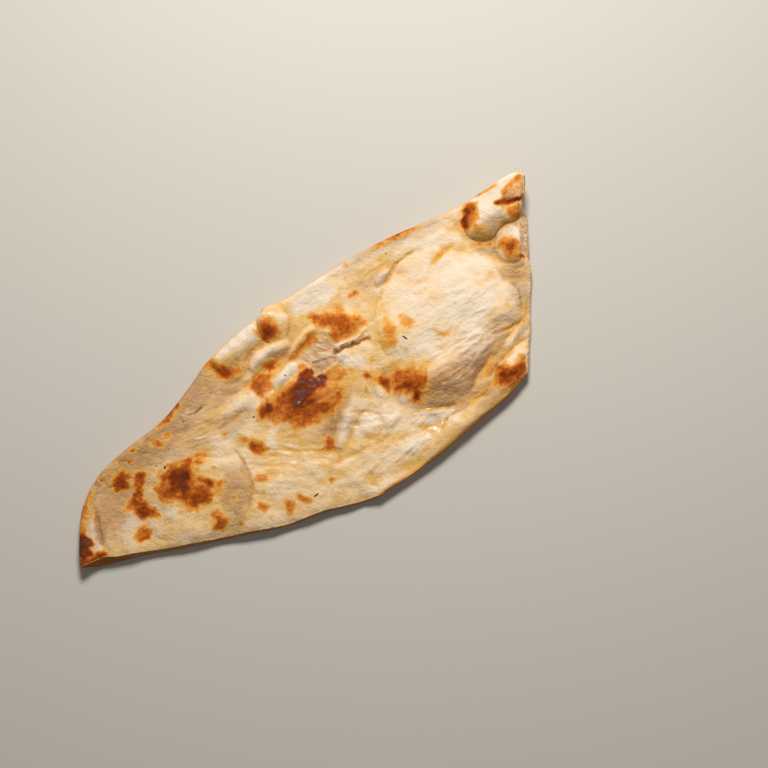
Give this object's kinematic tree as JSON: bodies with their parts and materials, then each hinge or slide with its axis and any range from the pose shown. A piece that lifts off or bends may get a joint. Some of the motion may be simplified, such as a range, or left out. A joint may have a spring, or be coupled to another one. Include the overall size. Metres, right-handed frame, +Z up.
{
  "type": "naan bread",
  "caption": "Half of a hand-stretched naan with two straight knife cuts, puffed, blistered and charred, lying flat.",
  "frame": {"origin": "on the table, under the middle of the bread's bounding box", "axes": "+X along the bread's length towards its wide end, +Z up out of the browned face"},
  "size_m": [0.273, 0.106, 0.013],
  "materials": {
    "baked_dough": "pale baked wheat dough, lightly buttered, with browned and charred blisters"
  },
  "bodies": {
    "root": {"naan": "baked_dough"}
  },
  "joints": []
}
